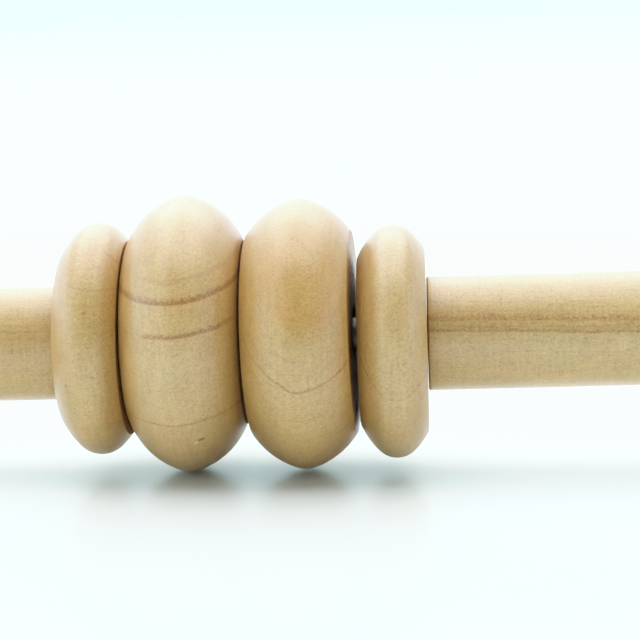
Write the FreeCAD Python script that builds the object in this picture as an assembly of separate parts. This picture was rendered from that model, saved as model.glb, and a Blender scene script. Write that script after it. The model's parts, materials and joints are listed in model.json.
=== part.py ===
"""Wooden roller massager: four turned wooden rollers that spin loosely on a steel rod between two dowel handles.

Frame, in millimetres: X runs along the rod, Z is up, and the origin is on the surface that the two large
rollers stand on, midway between the handles' far ends.

The bores are 3 mm wider than the rod, so every roller turns about its own centre line, and sits on the rod in
its own way. The large rollers stand on the surface, and the rod rests in the bore of the left one, which is the
larger of the two, so the handles are clear of the surface. The right small roller hangs on the rod. The left
small one is held between the handle and the large roller beside it, a little higher than the rod. Three of the
rollers also lean by less than a degree, and the right large one is turned a little towards the right.
"""

import FreeCAD, Part
import math
import os
from typing import NamedTuple

# Rod
ROD_RADIUS = 4.0
ROD_SEATED_LENGTH = 55.0  # glued into each handle
ROD_CHAMFER = 0.8
GLUE_GROOVE_COUNT = 3
GLUE_GROOVE_DEPTH = 0.3
GLUE_GROOVE_WIDTH = 1.5
GLUE_GROOVE_PITCH = 12.0

# Handles
HANDLE_RADIUS = 12.7
HANDLE_LENGTH = 140.0
HANDLE_INNER_EDGE = 0.3  # the crisp edge beside the rollers is only just broken
HANDLE_BORE_CHAMFER = 0.5
HANDLE_ROUND_OVER = 6.0  # radius of the free end's shoulder
HANDLE_ROUND_OVER_TURN = math.radians(75)  # where the shoulder meets the shallow dome
BORE_SPARE_DEPTH = 2.0  # room for glue past the rod's end
DRILL_POINT_HALF_ANGLE = math.radians(59)


class Roller(NamedTuple):
    """One roller's sizes, and how it stands beside its left neighbour."""

    radius: float
    width: float
    crest: float  # radius of the rounded crest
    turn: float  # degrees of crest to each side, before the flank takes over
    flank: float  # radius of the flanks
    gap: float  # to the piece on its left, along the rod
    off_middle: float = 0.0  # how far the crest is to the right of the roller's middle
    lean: float = 0.0  # degrees, with the top to the left where it is positive
    yaw: float = 0.0  # degrees, with the front to the left where it is positive


# From left to right. They were turned by hand, so no two are quite alike.
ROLLERS = {
    "left_small_roller": Roller(25.9, 14.2, crest=6.0, turn=44, flank=19.0, gap=0.4, off_middle=0.7, lean=-0.7),
    "left_large_roller": Roller(30.85, 25.4, crest=5.5, turn=16, flank=17.0, gap=0.45, lean=-0.2),
    "right_large_roller": Roller(30.15, 23.0, crest=6.0, turn=18, flank=18.4, gap=1.32, lean=0.8, yaw=1.8),
    "right_small_roller": Roller(26.0, 15.0, crest=5.6, turn=44, flank=18.0, gap=0.95, off_middle=0.4),
}
LAST_GAP = 0.2  # from the last roller to the right handle
ROLLER_EDGE = 0.6  # radius between a flank and the flat side
ROLLER_BORE_RADIUS = 5.5
ROLLER_BORE_CHAMFER = 0.6

# Heights. Where a bore carries the rod, or hangs on it, the two are this far short of touching.
RESTING_GAP = 0.05
PLAY = ROLLER_BORE_RADIUS - ROD_RADIUS - RESTING_GAP
ROD_HEIGHT = ROLLERS["left_large_roller"].radius - PLAY
HELD_RISE = 0.8  # of the left small roller's centre line above the rod's
CENTRE_HEIGHTS = {
    "left_small_roller": ROD_HEIGHT + HELD_RISE,
    "left_large_roller": ROLLERS["left_large_roller"].radius,
    "right_large_roller": ROLLERS["right_large_roller"].radius,
    "right_small_roller": ROD_HEIGHT - PLAY,
}

# The handles' inner ends are at minus and plus this.
HANDLE_FACE_X = (sum(roller.gap + roller.width for roller in ROLLERS.values()) + LAST_GAP) / 2


def point(along, out):
    """A point of a half section: along the axis of revolution, and out from it."""
    return FreeCAD.Vector(along, 0, out)


def on_circle(centre, radius, angle):
    """The point of a circle at an angle from straight out, turning towards +along."""
    return point(centre[0] + radius * math.sin(angle), centre[1] + radius * math.cos(angle))


def line(start, end):
    return Part.LineSegment(start, end).toShape()


def arc(centre, radius, first, last):
    """An arc between two angles from straight out."""
    middle = (first + last) / 2
    ends = [on_circle(centre, radius, angle) for angle in (first, middle, last)]
    return Part.Arc(*ends).toShape()


def polyline(points):
    return [line(start, end) for start, end in zip(points, points[1:])]


def turned(edges):
    """The solid that a closed half section sweeps about the X axis."""
    face = Part.Face(Part.Wire(edges))
    return face.revolve(FreeCAD.Vector(0, 0, 0), FreeCAD.Vector(1, 0, 0), 360)


def mirrored(edges):
    """The same edges on the other side of the half section's middle, in reverse order."""
    plane_point = FreeCAD.Vector(0, 0, 0)
    plane_normal = FreeCAD.Vector(1, 0, 0)
    return [edge.mirror(plane_point, plane_normal) for edge in reversed(edges)]


def crest_centre(roller):
    return 0, roller.radius - roller.crest


def roller_side(roller, half):
    """The right half of a roller's half section, from the end of the crest to the bore, where half is the
    distance from the crest to the flat side."""
    turn = math.radians(roller.turn)
    along, out = crest_centre(roller)
    inward = roller.crest - roller.flank  # from the crest's centre to the flank's, along their common line
    flank_centre = (along + inward * math.sin(turn), out + inward * math.cos(turn))
    # The edge radius touches the flat side and the inside of the flank's circle.
    edge_along = half - ROLLER_EDGE
    reach = roller.flank - ROLLER_EDGE
    edge_angle = math.asin((edge_along - flank_centre[0]) / reach)
    edge_centre = (edge_along, flank_centre[1] + reach * math.cos(edge_angle))

    bore_side = point(half, ROLLER_BORE_RADIUS + ROLLER_BORE_CHAMFER)
    return [
        arc(flank_centre, roller.flank, turn, edge_angle),
        arc(edge_centre, ROLLER_EDGE, edge_angle, math.pi / 2),
        line(point(half, edge_centre[1]), bore_side),
        line(bore_side, point(half - ROLLER_BORE_CHAMFER, ROLLER_BORE_RADIUS)),
    ]


def roller_blank(roller):
    """A lens-shaped roller with its crest at the origin: a rounded crest, two curved flanks, two flat sides."""
    turn = math.radians(roller.turn)
    right_half = roller.width / 2 - roller.off_middle
    left_half = roller.width / 2 + roller.off_middle
    top = arc(crest_centre(roller), roller.crest, -turn, turn)
    bore = line(
        point(right_half - ROLLER_BORE_CHAMFER, ROLLER_BORE_RADIUS),
        point(ROLLER_BORE_CHAMFER - left_half, ROLLER_BORE_RADIUS),
    )
    left_side = mirrored(roller_side(roller, left_half))
    return turned([top, *roller_side(roller, right_half), bore, *left_side])


def handle():
    """A dowel handle whose inner end is at the origin and whose free end is at +X: a blind bore at one end
    and, at the other, a round shoulder that runs into a shallow dome."""
    shoulder_out = HANDLE_RADIUS - HANDLE_ROUND_OVER
    dome_less_shoulder = shoulder_out / math.cos(HANDLE_ROUND_OVER_TURN)
    dome_radius = dome_less_shoulder + HANDLE_ROUND_OVER
    dome_along = HANDLE_LENGTH - dome_radius
    shoulder_along = dome_along + dome_less_shoulder * math.sin(HANDLE_ROUND_OVER_TURN)
    bore_depth = ROD_SEATED_LENGTH + BORE_SPARE_DEPTH
    drill_tip = bore_depth + ROD_RADIUS / math.tan(DRILL_POINT_HALF_ANGLE)

    inside_and_wall = polyline(
        [
            point(HANDLE_LENGTH, 0),
            point(drill_tip, 0),
            point(bore_depth, ROD_RADIUS),
            point(HANDLE_BORE_CHAMFER, ROD_RADIUS),
            point(0, ROD_RADIUS + HANDLE_BORE_CHAMFER),
            point(0, HANDLE_RADIUS - HANDLE_INNER_EDGE),
            point(HANDLE_INNER_EDGE, HANDLE_RADIUS),
            point(shoulder_along, HANDLE_RADIUS),
        ]
    )
    shoulder = arc((shoulder_along, shoulder_out), HANDLE_ROUND_OVER, 0, HANDLE_ROUND_OVER_TURN)
    dome = arc((dome_along, 0), dome_radius, HANDLE_ROUND_OVER_TURN, math.pi / 2)
    return turned([*inside_and_wall, shoulder, dome])


def rod():
    """The steel rod, centred on the origin, with chamfered ends and shallow rings that key the glue."""
    half = HANDLE_FACE_X + ROD_SEATED_LENGTH
    blank = turned(
        polyline(
            [
                point(-half, 0),
                point(half, 0),
                point(half, ROD_RADIUS - ROD_CHAMFER),
                point(half - ROD_CHAMFER, ROD_RADIUS),
                point(ROD_CHAMFER - half, ROD_RADIUS),
                point(-half, ROD_RADIUS - ROD_CHAMFER),
                point(-half, 0),
            ]
        )
    )
    for number in range(1, GLUE_GROOVE_COUNT + 1):
        for side in (-1, 1):
            blank = blank.cut(glue_ring(side * (half - number * GLUE_GROOVE_PITCH)))
    return blank


def glue_ring(along):
    """What a glue groove takes out of the rod."""
    low, high = ROD_RADIUS - GLUE_GROOVE_DEPTH, ROD_RADIUS + GLUE_GROOVE_DEPTH
    first, last = along - GLUE_GROOVE_WIDTH / 2, along + GLUE_GROOVE_WIDTH / 2
    corners = [point(first, low), point(last, low), point(last, high), point(first, high)]
    return turned(polyline([*corners, corners[0]]))


def placed(shape, along, height, lean=0.0, yaw=0.0):
    """The shape leant and then turned about the origin, and moved to its place above the X axis."""
    centre = FreeCAD.Vector(0, 0, 0)
    shape.rotate(centre, FreeCAD.Vector(0, 1, 0), -lean)
    shape.rotate(centre, FreeCAD.Vector(0, 0, 1), -yaw)
    shape.translate(FreeCAD.Vector(along, 0, height))
    return shape


def all_parts():
    parts = {
        "axle_rod": placed(rod(), 0, ROD_HEIGHT),
        "left_handle": placed(handle(), -HANDLE_FACE_X, ROD_HEIGHT, yaw=180),
        "right_handle": placed(handle(), HANDLE_FACE_X, ROD_HEIGHT),
    }
    edge = -HANDLE_FACE_X
    for node, roller in ROLLERS.items():
        edge += roller.gap
        crest_x = edge + roller.width / 2 + roller.off_middle
        blank = roller_blank(roller)
        parts[node] = placed(blank, crest_x, CENTRE_HEIGHTS[node], lean=roller.lean, yaw=roller.yaw)
        edge += roller.width
    return parts


os.makedirs("parts", exist_ok=True)
for node, shape in all_parts().items():
    shape.exportStep(f"parts/{node}.step")
    box = shape.optimalBoundingBox()
    print(
        f"{node}: valid {shape.isValid()}, solids {len(shape.Solids)}, volume {shape.Volume:.0f} mm3,"
        f" x {box.XMin:.2f} to {box.XMax:.2f}, z {box.ZMin:.3f} to {box.ZMax:.2f}"
    )
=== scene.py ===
"""Looks of the wooden roller massager: lacquered pale wood on a steel rod, on a white studio floor.

Lengths are in metres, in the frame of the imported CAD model: X along the rod, Z up, the front towards -Y.
Grain is given in millimetres, from the middle of each piece's own axis.
"""

import json
import math
import random
from typing import NamedTuple

import bmesh
import bpy
import numpy as np
from mathutils import Matrix, Vector


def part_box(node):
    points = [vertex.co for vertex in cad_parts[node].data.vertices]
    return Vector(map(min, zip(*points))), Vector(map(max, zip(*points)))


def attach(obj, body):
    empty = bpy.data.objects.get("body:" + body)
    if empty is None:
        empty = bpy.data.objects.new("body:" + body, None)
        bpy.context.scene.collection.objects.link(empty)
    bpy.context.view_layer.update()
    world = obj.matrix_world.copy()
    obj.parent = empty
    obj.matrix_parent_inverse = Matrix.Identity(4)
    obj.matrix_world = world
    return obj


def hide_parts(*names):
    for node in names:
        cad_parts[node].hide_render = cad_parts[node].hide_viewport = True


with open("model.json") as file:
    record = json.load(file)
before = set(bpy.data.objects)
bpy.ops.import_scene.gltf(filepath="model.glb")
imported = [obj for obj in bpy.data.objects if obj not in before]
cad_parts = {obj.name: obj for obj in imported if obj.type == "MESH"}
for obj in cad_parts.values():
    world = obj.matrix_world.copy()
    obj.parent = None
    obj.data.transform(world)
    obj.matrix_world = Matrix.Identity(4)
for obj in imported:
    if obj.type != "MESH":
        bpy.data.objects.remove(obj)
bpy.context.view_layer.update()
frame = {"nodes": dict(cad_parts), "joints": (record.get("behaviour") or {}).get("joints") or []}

MM = 0.001

# Camera
CAMERA_X = 0.03795
CAMERA_DISTANCE = 0.412  # from the rod
CAMERA_ELEVATION = math.radians(8.0)
CAMERA_YAW = math.radians(2.986)  # it looks a little to the left of straight ahead
CAMERA_PITCH = math.radians(7.49)
CAMERA_ROLL = math.radians(1.914)
LENS_MM = 104.3
SENSOR_MM = 36.0

# Floor
FLOOR_SIZE = 12.0
# On the real object the rod leans by this in its loose bores. Here the rod is level, and the floor leans.
FLOOR_TILT = math.radians(1.2)
FLOOR_COLOUR = (0.77, 0.845, 0.865)
FLOOR_GLOSS_COLOUR = (0.77, 0.975, 1.0)
FLOOR_GLOSS = 0.18  # how much of the background the floor mirrors, seen from this low
FLOOR_ROUGHNESS = 0.25
GLOW_START = 0.45
GLOW_FULL = 1.0
GLOW_AS_LIGHT = 0.25  # of how bright it looks

# Background and lights
BACKGROUND_LOW = (1.90, 1.95, 1.95)
BACKGROUND_HIGH = (1.15, 1.95, 1.95)
BACKGROUND_RISE = 0.035  # from the horizon, as the sine of the elevation
SKY_COLOUR = (0.88, 1.0, 1.03)
SKY_MIDDLE = 0.6  # strength overhead and to the sides
SKY_BACK = 0.42  # gained towards the back, and lost towards the front
SKY_FAR_BACK = 1.9  # more, straight behind
SKY_FAR_BACK_FOCUS = 2.0
SKY_ENDS = 2.6  # more, straight along the rod
SKY_ENDS_FOCUS = 6.0
SKY_LEFT = 0.55  # gained towards the left
KEY_PLACE = (0.0, 0.48, 1.0)
KEY_SIZE = (1.6, 1.7)
KEY_POWER = 32.5
KEY_COLOUR = (1.0, 0.97, 0.93)

# The camera's response: brightness in the scene, as a part of RESPONSE_WHITE, and as it is shown.
RESPONSE_WHITE = 2.0
RESPONSE = ((0.24, 0.45), (0.395, 0.66), (0.485, 0.76), (0.6, 0.87), (0.9, 1.0))
# White is shown a little cyan: from RED_BENDS on, red falls behind, and white's red is taken as RED_WHITE.
RED_BENDS = 0.57
RED_WHITE = 0.75
RED_STEPS = 4  # points that keep the red curve straight up to its bend

# Meshes
ROLLER_AROUND = 160  # faces round a roller
HANDLE_AROUND = 112
ROLLER_FACE = 0.9 * MM  # the longest face along the half section
HANDLE_FACE = 2.4 * MM
SAME_POINT = 0.03 * MM
WELDED = 0.001 * MM  # corners this close become one
SHARP_TURN = math.radians(20)
SOFTENED = 0.15 * MM  # how far from a sharp corner its rounding starts
SOFTENED_PART = 0.35  # of the side beside the corner, at most
WAVINESS = 0.07 * MM  # hand sanding leaves the surface this uneven
WAVES_AROUND = (2, 3, 5, 7, 9)
WAVE_PITCH = 250.0  # radians per metre along the piece, at most
SANDED_FULLY = 3 * MM  # out from the bore

# Wood colours. All but the first are multiplied into the wood's colour.
WOOD_COLOUR = (0.56, 0.367, 0.138)
STREAK_TINT = (0.60, 0.45, 0.34)
RING_TINT = (0.84, 0.76, 0.66)
MOTTLE_TINT = (0.93, 0.90, 0.84)
BLUSH_TINT = (1.04, 0.97, 1.0)
HEART_TINT = (0.97, 0.88, 0.70)
END_GRAIN_AND_SHADE_TINT = (0.80, 0.70, 0.54)  # the steep flanks cut across the fibres and soak up lacquer, and the same darkening is painted shade in the valleys between the pieces
FLAT_SIDE_SHADE_TINT = (0.80, 0.72, 0.58)  # painted shade: darkens the flat sides, which face into the narrow gaps between the pieces. Most of the flat sides are also not lacquered
DARK = (0.45, 0.36, 0.3)
CRUMB = (1.45, 1.55, 1.8)

# Wood surface
COAT = 0.8
COAT_ROUGHNESS = 0.33
WOOD_ROUGHNESS = 0.42
BARE_ROUGHNESS = 0.45  # more, where there is no lacquer
MARK_HEIGHT = -0.1  # millimetres
MOTTLE_STRETCH = (0.07, 0.1, 0.1)
BLUSH_STRETCH = (0.1, 0.16, 0.16)
HEART_BLEND = 2.5  # millimetres of depth
LATEWOOD_CRISPNESS = 4.0
# From none to all, in how squarely the surface cuts across the fibres.
# This ramp also places painted shade in the valleys between the pieces.
END_GRAIN_AND_SHADE_SHOWS = (0.4, 0.9)
# The same ramp marks the flat sides for painted shade and for having no lacquer.
BARE_AND_SHADED_SHOWS = (0.94, 0.99)

# Growth rings are not quite flat. Both amounts are in millimetres.
SWAY = 0.4
SWAY_STRETCH = (0.025, 0.05, 0.05)
RIPPLE = 0.12
RIPPLE_STRETCH = (0.25, 0.5, 0.5)

# Streaks, in millimetres
STREAK_EDGE = (-0.15, 0.1)  # from none to all, at the shallow edge
STREAK_SOFT_FROM = 0.4  # of its width
STREAK_RAGGED = 0.12
STREAK_BEGINS_IN = 3.0
STREAK_ENDS_IN = 6.0
STREAK_BETWEEN_DOTS = 0.5  # how much of it is left there

# Steel
# Darker than bare steel: painted shade for the narrow gaps between the rollers, where the rod shows.
STEEL_SHADED_COLOUR = (0.20, 0.20, 0.20)
STEEL_ROUGHNESS = 0.42
STEEL_LINES_STRETCH = (0.05, 9.0, 9.0)
STEEL_PATCHES_STRETCH = (0.25, 0.6, 0.6)


class Grain(NamedTuple):
    """One kind of fine unevenness in the wood."""

    stretch: tuple  # how quickly it changes, per millimetre along the fibres and across them
    seed: float
    detail: float
    shade: float  # what it adds to the brightness
    height: float = 0.0  # millimetres
    rough: float = 0.0


GRAINS = {
    "clouds": Grain((0.35, 0.5, 0.5), 15, 2.0, shade=0.045),
    "fibres": Grain((0.12, 1.8, 1.8), 17, 3.0, shade=0.06, height=0.006, rough=0.04),
    "flecks": Grain((1.9, 2.4, 2.4), 19, 3.0, shade=0.18, height=0.008, rough=0.06),
    "turning_lines": Grain((1.5, 0.12, 0.12), 23, 3.0, shade=0.06, height=0.009),
    "pores": Grain((0.9, 2.8, 2.8), 29, 1.0, shade=-0.24, height=-0.016, rough=0.12),
}
PORES_FROM = 0.7  # only the peaks of this noise are pores


class Streak(NamedTuple):
    """A brown line where a stained growth ring meets the surface."""

    depth: float  # along the ring normal
    width: float
    strength: float
    start: float = -500.0  # where along the piece it begins and ends
    end: float = 500.0
    tilt: float = 0.0  # how much more it climbs than the rings do


class Mark(NamedTuple):
    """A small spot on the surface."""

    along: float
    up: float  # degrees up from the front
    out: float  # from the axis
    length: float
    height: float
    tint: tuple


class Wood(NamedTuple):
    """How a piece was cut from the board."""

    pole: float  # degrees up from the front, that the growth rings face
    tint: tuple
    seed: float
    streaks: tuple
    slope: float = 0.0  # how far the rings climb along the piece
    ring_gap: float = 2.6
    ring_strength: float = 0.5
    heart: float = 500.0  # the depth from which the wood is more amber
    bare_sides: bool = True
    marks: tuple = ()


WOODS = {
    "left_small_roller": Wood(
        pole=82,
        tint=(0.99, 0.96, 0.86),
        seed=3.1,
        streaks=(
            Streak(26.0, 0.45, 0.7, start=1.5, tilt=1.0),
            Streak(16.4, 0.4, 0.45, tilt=0.13),
            Streak(24.6, 0.5, 0.35),
        ),
        slope=0.02,
        ring_gap=3.4,
        marks=(Mark(-4.2, -16.3, 24.2, 1.0, 0.6, DARK),),
    ),
    "left_large_roller": Wood(
        pole=76,
        tint=(1.0, 0.985, 0.965),
        seed=7.7,
        streaks=(
            Streak(20.1, 0.9, 0.35, start=-9.0),
            Streak(16.35, 1.3, 1.45),
            Streak(9.9, 1.2, 1.25, start=-8.0, end=14.0),
            Streak(-9.3, 0.7, 0.8),
        ),
        slope=-0.055,
        ring_strength=0.25,
        marks=(Mark(4.6, -42.6, 29.4, 2.6, 0.8, DARK), Mark(3.25, -43.2, 30.0, 0.9, 0.9, CRUMB)),
    ),
    "right_large_roller": Wood(
        pole=36,
        tint=(0.99, 0.94, 0.83),
        seed=12.3,
        streaks=(
            Streak(29.4, 0.3, 0.25),
            Streak(21.7, 0.5, 0.5, end=-6.0),
            Streak(18.2, 0.5, 0.8, start=-8.0, end=16.0),
            Streak(18.2, 0.5, 0.35),
            Streak(17.2, 0.4, 0.25),
            Streak(12.1, 0.4, 0.35),
            Streak(4.3, 0.6, 0.9, start=6.0),
        ),
        slope=0.18,
        ring_gap=2.3,
        heart=24.8,
        bare_sides=False,
    ),
    "right_small_roller": Wood(
        pole=30,
        tint=(1.005, 1.015, 1.035),
        seed=18.9,
        streaks=(
            Streak(16.4, 0.45, 0.8, end=-1.5),
            Streak(16.4, 0.45, 0.8, start=2.5),
            Streak(16.4, 0.4, 0.25),
            Streak(13.6, 0.4, 0.2),
        ),
        slope=0.11,
        ring_strength=0.35,
    ),
    "left_handle": Wood(
        pole=80,
        tint=(0.99, 0.985, 0.92),
        seed=23.4,
        streaks=(Streak(6.3, 0.5, 0.4), Streak(-2.4, 0.4, 0.35)),
    ),
    "right_handle": Wood(
        pole=75,
        tint=(0.99, 1.0, 1.0),
        seed=31.6,
        streaks=(
            Streak(8.7, 1.3, 0.7),
            Streak(6.6, 0.6, 0.7),
            Streak(6.4, 3.4, 0.35),
            Streak(4.0, 2.6, 0.12),
        ),
        slope=0.031,
    ),
}


# ---------------------------------------------------------------- meshes


def place_of(node):
    """From the piece's own space, where X is its axis, to the row frame."""
    for joint in frame["joints"]:
        if joint["child"] == node:
            axis = Vector(joint["axis"])
            lean = Matrix.Rotation(-math.asin(axis.z), 4, "Y")
            yaw = Matrix.Rotation(math.atan2(axis.y, axis.x), 4, "Z")
            return Matrix.Translation(joint["pos_m"]) @ yaw @ lean
    low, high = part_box("axle_rod")
    return Matrix.Translation((low + high) / 2)


def half_section(node):
    """(along, out) corners of the node's half section, in order round it, read from its CAD mesh."""
    to_piece = place_of(node).inverted()
    corners = np.array([to_piece @ vertex.co for vertex in frame["nodes"][node].data.vertices])
    out = np.hypot(corners[:, 1], corners[:, 2])
    points = np.unique(np.round(np.column_stack([corners[:, 0], out]), 5), axis=0)
    middle = (points.min(axis=0) + points.max(axis=0)) / 2
    angle = np.arctan2(points[:, 1] - middle[1], points[:, 0] - middle[0])
    points = points[np.argsort(angle)]
    step = np.linalg.norm(points - np.roll(points, 1, axis=0), axis=1)
    points = points[step > SAME_POINT]
    # A handle's section starts and ends on the axis, so nothing is swept between those two points.
    on_axis = points[:, 1] < SAME_POINT
    for index in np.flatnonzero(on_axis & np.roll(on_axis, 1)):
        points = np.roll(points, -index, axis=0)
    return points


def is_open(points):
    """Whether the section starts and ends on the axis."""
    return points[0, 1] < SAME_POINT


def bore_radius(points):
    """The radius of the hole in the piece."""
    if is_open(points):
        low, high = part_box("axle_rod")
        return (high.z - low.z) / 2
    return points[:, 1].min()


def neighbours(points, index):
    """The points before and after one, or None at an end of an open section."""
    count = len(points)
    if is_open(points) and index in (0, count - 1):
        return None
    return points[index - 1], points[(index + 1) % count]


def with_soft_corners(points):
    """The same section with a small rounding at each sharp corner."""
    softened = []
    for index, corner in enumerate(points):
        beside = neighbours(points, index)
        if beside is None:
            softened.append(corner)
            continue
        arms = [other - corner for other in beside]
        lengths = [np.linalg.norm(arm) for arm in arms]
        straightness = -arms[0] @ arms[1] / (lengths[0] * lengths[1])
        if math.acos(min(1.0, straightness)) < SHARP_TURN:
            softened.append(corner)
            continue
        reaches = [min(SOFTENED, SOFTENED_PART * length) for length in lengths]
        first, last = [corner + arm / length * reach for arm, length, reach in zip(arms, lengths, reaches)]
        softened += [first, (first + 2 * corner + last) / 4, last]
    return np.array(softened)


def with_short_faces(points, longest):
    """The same section with extra points on its long straight stretches."""
    ends = points[1:] if is_open(points) else np.roll(points, -1, axis=0)
    divided = []
    for start, end in zip(points, ends):
        pieces = math.ceil(np.linalg.norm(end - start) / longest)
        divided += [start + (end - start) * step / pieces for step in range(pieces)]
    if is_open(points):
        divided.append(points[-1])
    return np.array(divided)


def waviness(seed):
    """A smooth function of angle and distance along the axis, from 0 to 1, that differs for each seed."""
    dice = random.Random(seed)
    waves = []
    for around in WAVES_AROUND:
        pitch = dice.uniform(-WAVE_PITCH, WAVE_PITCH)
        turn = dice.uniform(0, 2 * math.pi)
        waves.append((around, pitch, turn, dice.uniform(0.5, 1.0)))
    total = sum(size for around, pitch, turn, size in waves)

    def unevenness(angle, along):
        height = 0.0
        for around, pitch, turn, size in waves:
            height = height + size * np.cos(around * angle + pitch * along + turn)
        return 0.5 + 0.5 * height / total

    return unevenness


def swept_faces(rings, around, closed):
    """Four-sided faces between each ring of corners and the one after it."""
    faces = []
    for ring in range(rings if closed else rings - 1):
        first = ring * around
        second = (ring + 1) % rings * around
        for step in range(around):
            beside = (step + 1) % around
            faces.append((first + step, first + beside, second + beside, second + step))
    return faces


def turned_piece(node, around, longest):
    """A turned wooden piece in its CAD node's place, sanded a little uneven by hand."""
    points = with_short_faces(with_soft_corners(half_section(node)), longest)
    along, out = points[:, 0:1], points[:, 1:2]
    angle = np.linspace(0, 2 * math.pi, around, endpoint=False)[None, :]
    # The bore stays true, and the rest only ever loses wood.
    sanded = np.clip((out - bore_radius(points)) / SANDED_FULLY, 0, 1)
    out = out - WAVINESS * sanded * waviness(node)(angle, along)
    x = np.broadcast_to(along, out.shape)
    corners = np.stack([x, -out * np.cos(angle), out * np.sin(angle)], axis=-1).reshape(-1, 3)

    mesh = bpy.data.meshes.new(node + "_turned")
    mesh.from_pydata(corners.tolist(), [], swept_faces(len(points), around, not is_open(points)))
    shell = bmesh.new()
    shell.from_mesh(mesh)
    bmesh.ops.remove_doubles(shell, verts=shell.verts, dist=WELDED)
    bmesh.ops.recalc_face_normals(shell, faces=shell.faces)
    shell.to_mesh(mesh)
    shell.free()
    mesh.shade_smooth()

    piece = bpy.data.objects.new(node + "_turned", mesh)
    bpy.context.scene.collection.objects.link(piece)
    piece.matrix_world = place_of(node)
    return piece


# ---------------------------------------------------------------- materials


class Graph:
    """The nodes of a material or of the world, with short calls for the kinds used here."""

    def __init__(self, owner):
        owner.use_nodes = True
        self.owner = owner
        self.tree = owner.node_tree
        self.tree.nodes.clear()

    def node(self, kind, inputs, **settings):
        made = self.tree.nodes.new(kind)
        for name, value in settings.items():
            setattr(made, name, value)
        for name, value in inputs.items():
            if isinstance(value, bpy.types.NodeSocket):
                self.tree.links.new(value, made.inputs[name])
            else:
                made.inputs[name].default_value = value
        return made

    def millimetres(self):
        """The point on the surface, in millimetres in the piece's own space."""
        return self.scaled(self.node("ShaderNodeTexCoord", {}).outputs["Object"], 1 / MM)

    def across_fibres(self):
        """How squarely the surface cuts across the fibres: 1 on a flat side, and 0 along the fibres."""
        normal = self.node("ShaderNodeTexCoord", {}).outputs["Normal"]
        return self.math("ABSOLUTE", self.dot(normal, (1.0, 0.0, 0.0)))

    def math(self, operation, *values):
        return self.node("ShaderNodeMath", dict(enumerate(values)), operation=operation).outputs[0]

    def plus(self, total, value, amount):
        """The total and an amount of the value."""
        return self.math("MULTIPLY_ADD", value, amount, total) if amount else total

    def vectors(self, operation, inputs):
        return self.node("ShaderNodeVectorMath", inputs, operation=operation).outputs

    def dot(self, vector, other):
        return self.vectors("DOT_PRODUCT", {0: vector, 1: other})["Value"]

    def length(self, vector):
        return self.vectors("LENGTH", {0: vector})["Value"]

    def scaled(self, vector, amount):
        return self.vectors("SCALE", {0: vector, "Scale": amount})[0]

    def stretched(self, vector, factors, moved):
        """The vector multiplied part by part, and then moved."""
        return self.vectors("MULTIPLY_ADD", {0: vector, 1: factors, 2: moved})[0]

    def noise(self, at, stretch, seed, detail=2.0):
        """Smooth noise from about -1 to 1."""
        spot = self.stretched(at, stretch, (seed, seed * 1.7, seed * 2.3))
        cloud = self.node("ShaderNodeTexNoise", {"Vector": spot, "Scale": 1.0, "Detail": detail})
        return self.ramp(cloud.outputs[0], 0.3, 0.7, -1.0, 1.0)

    def ramp(self, value, low, high, at_low=0.0, at_high=1.0, kind="LINEAR"):
        inputs = {"Value": value, "From Min": low, "From Max": high, "To Min": at_low, "To Max": at_high}
        return self.node("ShaderNodeMapRange", inputs, interpolation_type=kind).outputs["Result"]

    def tinted(self, colour, tint, amount):
        """The colour multiplied by a tint, in so far as amount is near 1."""
        # This node has sockets for numbers and vectors too. Inputs 6 and 7 are its colours, and output 2.
        inputs = {0: amount, 6: colour, 7: (*tint, 1.0)}
        return self.node("ShaderNodeMix", inputs, data_type="RGBA", blend_type="MULTIPLY").outputs[2]

    def bump(self, height):
        """The normal of a surface with this height, in millimetres."""
        inputs = {"Height": height, "Strength": 1.0, "Distance": MM}
        return self.node("ShaderNodeBump", inputs).outputs["Normal"]

    def mixed(self, amount, first, second):
        """The second shader in so far as amount is near 1, and the first otherwise."""
        return self.node("ShaderNodeMixShader", {0: amount, 1: first.outputs[0], 2: second.outputs[0]})

    def is_seen(self):
        """1 for what the camera sees directly, and 0 for light on its way to something else."""
        return self.node("ShaderNodeLightPath", {}).outputs["Is Camera Ray"]

    def surface(self, inputs):
        shader = self.node("ShaderNodeBsdfPrincipled", inputs)
        self.node("ShaderNodeOutputMaterial", {"Surface": shader.outputs[0]})
        return self.owner


def ring_depth(graph, at, wood):
    """How deep in the tree the point was: growth rings are surfaces of equal depth."""
    pole = math.radians(wood.pole)
    depth = graph.dot(at, (wood.slope, -math.cos(pole), math.sin(pole)))
    depth = graph.plus(depth, graph.noise(at, SWAY_STRETCH, wood.seed), SWAY)
    return graph.plus(depth, graph.noise(at, RIPPLE_STRETCH, wood.seed + 5), RIPPLE)


def latewood_amount(graph, depth, ring_gap):
    """0 in a year's pale early wood, and rising to the year's own harshness at its end."""
    rings = graph.math("DIVIDE", depth, ring_gap)
    year = graph.math("FLOOR", rings)
    season = graph.math("FRACT", rings)
    harshness = graph.node("ShaderNodeTexWhiteNoise", {"W": year}, noise_dimensions="1D").outputs["Value"]
    return graph.math("MULTIPLY", graph.math("POWER", season, LATEWOOD_CRISPNESS), harshness)


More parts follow.
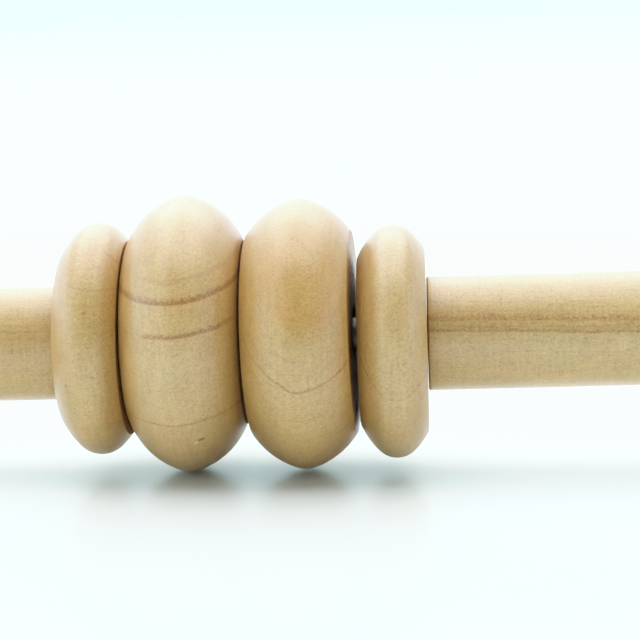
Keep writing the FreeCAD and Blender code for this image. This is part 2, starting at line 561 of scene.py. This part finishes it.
def plain_colour(graph, at, depth, wood):
    """The wood's colour before its streaks, fibres and marks."""
    base = [part * tint for part, tint in zip(WOOD_COLOUR, wood.tint)]
    mottle = graph.noise(at, MOTTLE_STRETCH, wood.seed + 11)
    blush = graph.noise(at, BLUSH_STRETCH, wood.seed + 13)
    latewood = latewood_amount(graph, depth, wood.ring_gap)
    colour = graph.tinted((*base, 1.0), MOTTLE_TINT, graph.ramp(mottle, -0.8, 1.0))
    colour = graph.tinted(colour, BLUSH_TINT, graph.ramp(blush, -0.3, 1.0))
    colour = graph.tinted(colour, HEART_TINT, graph.ramp(depth, wood.heart, wood.heart + HEART_BLEND))
    return graph.tinted(colour, RING_TINT, graph.math("MULTIPLY", latewood, wood.ring_strength))


def grain_texture(graph, at, kind, seed):
    """Noise of one kind from GRAINS, from about -1 to 1. Pores are from 0 to 1."""
    grain = GRAINS[kind]
    texture = graph.noise(at, grain.stretch, seed + grain.seed, grain.detail)
    return graph.ramp(texture, PORES_FROM, 1.0) if kind == "pores" else texture


def streak_amount(graph, depth, along, flecks, streak):
    """1 in the streak and 0 away from it. Its shallow edge is crisp, and it breaks up into dots."""
    level = graph.math("MULTIPLY_ADD", along, streak.tilt, depth)
    level = graph.plus(level, flecks, STREAK_RAGGED)
    crisp = graph.ramp(level, streak.depth + STREAK_EDGE[0], streak.depth + STREAK_EDGE[1])
    soft_from = streak.depth + STREAK_SOFT_FROM * streak.width
    soft = graph.ramp(level, soft_from, streak.depth + streak.width, 1.0, 0.0)
    begins = graph.ramp(along, streak.start, streak.start + STREAK_BEGINS_IN, kind="SMOOTHSTEP")
    ends = graph.ramp(along, streak.end - STREAK_ENDS_IN, streak.end, 1.0, 0.0, "SMOOTHSTEP")
    dots = graph.ramp(flecks, -0.7, 0.5, 1.0, STREAK_BETWEEN_DOTS)
    amount = graph.math("MULTIPLY", crisp, soft)
    for factor in (begins, ends, dots, streak.strength):
        amount = graph.math("MULTIPLY", amount, factor)
    return amount


def mark_amount(graph, at, mark):
    """1 in the mark and 0 outside it."""
    up = math.radians(mark.up)
    size = (2 / mark.length, 2 / mark.height, 2 / mark.height)
    centre = (mark.along, -mark.out * math.cos(up), mark.out * math.sin(up))
    away = [-place * scale for place, scale in zip(centre, size)]
    distance = graph.length(graph.stretched(at, size, away))
    return graph.ramp(distance, 0.6, 1.3, 1.0, 0.0)


def wood_material(name, wood):
    """Pale hardwood with its fibres along the piece, sanded and given a thin satin lacquer."""
    graph = Graph(bpy.data.materials.new(name))
    at = graph.millimetres()
    along = graph.dot(at, (1.0, 0.0, 0.0))
    depth = ring_depth(graph, at, wood)
    across = graph.across_fibres()
    # Flat sides: painted shade in the gaps between the pieces, and no lacquer where bare_sides is set.
    flat_side_bare_and_shaded = graph.ramp(across, *BARE_AND_SHADED_SHOWS)
    textures = {kind: grain_texture(graph, at, kind, wood.seed) for kind in GRAINS}

    shade, height, roughness, coat = 1.0, 0.0, WOOD_ROUGHNESS, COAT
    for kind, grain in GRAINS.items():
        shade = graph.plus(shade, textures[kind], grain.shade)
        height = graph.plus(height, textures[kind], grain.height)
        roughness = graph.plus(roughness, textures[kind], grain.rough)
    if wood.bare_sides:
        roughness = graph.plus(roughness, flat_side_bare_and_shaded, BARE_ROUGHNESS)
        coat = graph.ramp(flat_side_bare_and_shaded, 0.0, 1.0, COAT, 0.0)

    colour = graph.scaled(plain_colour(graph, at, depth, wood), shade)
    for streak in wood.streaks:
        amount = streak_amount(graph, depth, along, textures["flecks"], streak)
        colour = graph.tinted(colour, STREAK_TINT, amount)
    # The flanks' end grain is darker, and the same tint is painted shade for the valleys between the
    # pieces.
    colour = graph.tinted(colour, END_GRAIN_AND_SHADE_TINT, graph.ramp(across, *END_GRAIN_AND_SHADE_SHOWS))
    # Painted shade on the flat sides, which face into the narrow gaps between the pieces.
    colour = graph.tinted(colour, FLAT_SIDE_SHADE_TINT, flat_side_bare_and_shaded)
    for mark in wood.marks:
        amount = mark_amount(graph, at, mark)
        colour = graph.tinted(colour, mark.tint, amount)
        height = graph.plus(height, amount, MARK_HEIGHT)

    normal = graph.bump(height)
    return graph.surface(
        {
            "Base Color": colour,
            "Roughness": roughness,
            "Normal": normal,
            "Coat Weight": coat,
            "Coat Roughness": COAT_ROUGHNESS,
            "Coat Normal": normal,
        }
    )


def steel_material():
    """Bright drawn bar, with fine lines along it and a few dull patches. Its colour is kept dark as painted
    shade, for the narrow gaps where it shows.
    """
    graph = Graph(bpy.data.materials.new("drawn_steel"))
    at = graph.millimetres()
    lines = graph.noise(at, STEEL_LINES_STRETCH, 2.0, detail=4.0)
    patches = graph.noise(at, STEEL_PATCHES_STRETCH, 4.0)
    roughness = graph.plus(STEEL_ROUGHNESS, lines, 0.05)
    roughness = graph.plus(roughness, patches, 0.06)
    return graph.surface(
        {
            "Base Color": graph.scaled(STEEL_SHADED_COLOUR, graph.plus(1.0, lines, 0.06)),
            "Metallic": 1.0,
            "Roughness": roughness,
            "Normal": graph.bump(graph.math("MULTIPLY", lines, 0.001)),
        }
    )


# ---------------------------------------------------------------- studio


def floor_material():
    """White and a little glossy near the object. The far part glows as bright as the background."""
    graph = Graph(bpy.data.materials.new("studio_floor"))
    at = graph.node("ShaderNodeTexCoord", {}).outputs["Object"]
    seen = graph.is_seen()
    matt = graph.node("ShaderNodeBsdfDiffuse", {"Color": (*FLOOR_COLOUR, 1.0)})
    sheen = {"Color": (*FLOOR_GLOSS_COLOUR, 1.0), "Roughness": FLOOR_ROUGHNESS}
    gloss = graph.node("ShaderNodeBsdfGlossy", sheen)
    near = graph.mixed(graph.math("MULTIPLY", seen, FLOOR_GLOSS), matt, gloss)
    strength = graph.ramp(seen, 0.0, 1.0, GLOW_AS_LIGHT, 1.0)
    glow = graph.node("ShaderNodeEmission", {"Color": (*BACKGROUND_LOW, 1.0), "Strength": strength})
    far = graph.ramp(graph.length(at), GLOW_START, GLOW_FULL, kind="SMOOTHSTEP")
    both = graph.mixed(far, near, glow)
    graph.node("ShaderNodeOutputMaterial", {"Surface": both.outputs[0]})
    return graph.owner


def make_floor():
    """A large sheet that the left large roller stands on, tilted by FLOOR_TILT about that point."""
    half = FLOOR_SIZE / 2
    corners = [(-half, -half, 0), (half, -half, 0), (half, half, 0), (-half, half, 0)]
    mesh = bpy.data.meshes.new("studio_floor")
    mesh.from_pydata(corners, [], [(0, 1, 2, 3)])
    mesh.materials.append(floor_material())
    floor = bpy.data.objects.new("studio_floor", mesh)
    bpy.context.scene.collection.objects.link(floor)
    stands_on = place_of("left_large_roller").translation
    floor.matrix_world = Matrix.Translation((stands_on.x, 0, 0)) @ Matrix.Rotation(FLOOR_TILT, 4, "Y")


def make_sky():
    """A white background, and light all round that is strongest from behind and along the rod."""
    world = bpy.data.worlds.new("studio")
    bpy.context.scene.world = world
    graph = Graph(world)
    direction = graph.node("ShaderNodeTexCoord", {}).outputs["Generated"]
    parts = graph.node("ShaderNodeSeparateXYZ", {0: direction}).outputs
    ends = graph.math("POWER", graph.math("ABSOLUTE", parts["X"]), SKY_ENDS_FOCUS)
    behind = graph.math("POWER", graph.math("MAXIMUM", parts["Y"], 0.0), SKY_FAR_BACK_FOCUS)
    strength = graph.plus(SKY_MIDDLE, parts["Y"], SKY_BACK)
    strength = graph.plus(strength, behind, SKY_FAR_BACK)
    strength = graph.plus(strength, ends, SKY_ENDS)
    strength = graph.plus(strength, parts["X"], -SKY_LEFT)
    light = graph.node("ShaderNodeBackground", {"Color": (*SKY_COLOUR, 1.0), "Strength": strength})

    rise = graph.ramp(parts["Z"], 0.0, BACKGROUND_RISE)
    tint = [high / low for low, high in zip(BACKGROUND_LOW, BACKGROUND_HIGH)]
    shown = graph.tinted((*BACKGROUND_LOW, 1.0), tint, rise)
    background = graph.node("ShaderNodeBackground", {"Color": shown})
    both = graph.mixed(graph.is_seen(), light, background)
    graph.node("ShaderNodeOutputWorld", {"Surface": both.outputs[0]})


def make_key_light():
    """A large soft box overhead, a little behind the object."""
    light = bpy.data.lights.new("overhead_soft_box", "AREA")
    light.shape = "RECTANGLE"
    light.size, light.size_y = KEY_SIZE
    light.energy = KEY_POWER
    light.color = KEY_COLOUR
    lamp = bpy.data.objects.new("overhead_soft_box", light)
    lamp.location = KEY_PLACE
    bpy.context.scene.collection.objects.link(lamp)


def make_camera():
    """A camera low in front of the rod, that is rolled and looks slightly down."""
    camera = bpy.data.cameras.new("camera")
    camera.lens = LENS_MM
    camera.sensor_width = SENSOR_MM
    level = math.cos(CAMERA_PITCH)
    forward = Vector((-math.sin(CAMERA_YAW) * level, math.cos(CAMERA_YAW) * level, -math.sin(CAMERA_PITCH)))
    right = forward.cross(Vector((0, 0, 1))).normalized()
    turn = Matrix([right, right.cross(forward), -forward]).transposed().to_4x4()
    roll = Matrix.Rotation(-CAMERA_ROLL, 4, "Z")
    low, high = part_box("axle_rod")
    back = CAMERA_DISTANCE * math.cos(CAMERA_ELEVATION)
    up = (low.z + high.z) / 2 + CAMERA_DISTANCE * math.sin(CAMERA_ELEVATION)
    stand = bpy.data.objects.new("camera", camera)
    bpy.context.scene.collection.objects.link(stand)
    stand.matrix_world = Matrix.Translation((CAMERA_X, -back, up)) @ turn @ roll
    bpy.context.scene.camera = stand


def set_response():
    """Shows bright parts softly compressed, as a camera does, instead of clipped."""
    view = bpy.context.scene.view_settings
    view.view_transform = "Standard"
    view.use_curve_mapping = True
    mapping = view.curve_mapping
    mapping.white_level = (RESPONSE_WHITE,) * 3
    red, _, _, all_three = mapping.curves
    for place, shown in RESPONSE:
        all_three.points.new(place, shown)
    red.points[-1].location = (1.0, RED_WHITE)
    for step in range(1, RED_STEPS + 1):
        place = RED_BENDS * step / RED_STEPS
        red.points.new(place, place)
    mapping.update()


# ---------------------------------------------------------------- the object

for node, wood in WOODS.items():
    is_roller = node.endswith("roller")
    around, longest = (ROLLER_AROUND, ROLLER_FACE) if is_roller else (HANDLE_AROUND, HANDLE_FACE)
    piece = turned_piece(node, around, longest)
    piece.data.materials.append(wood_material(node + "_wood", wood))
    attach(piece, node if is_roller else "frame")
    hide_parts(node)

rod = frame["nodes"]["axle_rod"]
rod.data.materials.clear()
rod.data.materials.append(steel_material())

make_floor()
make_sky()
make_key_light()
make_camera()
set_response()
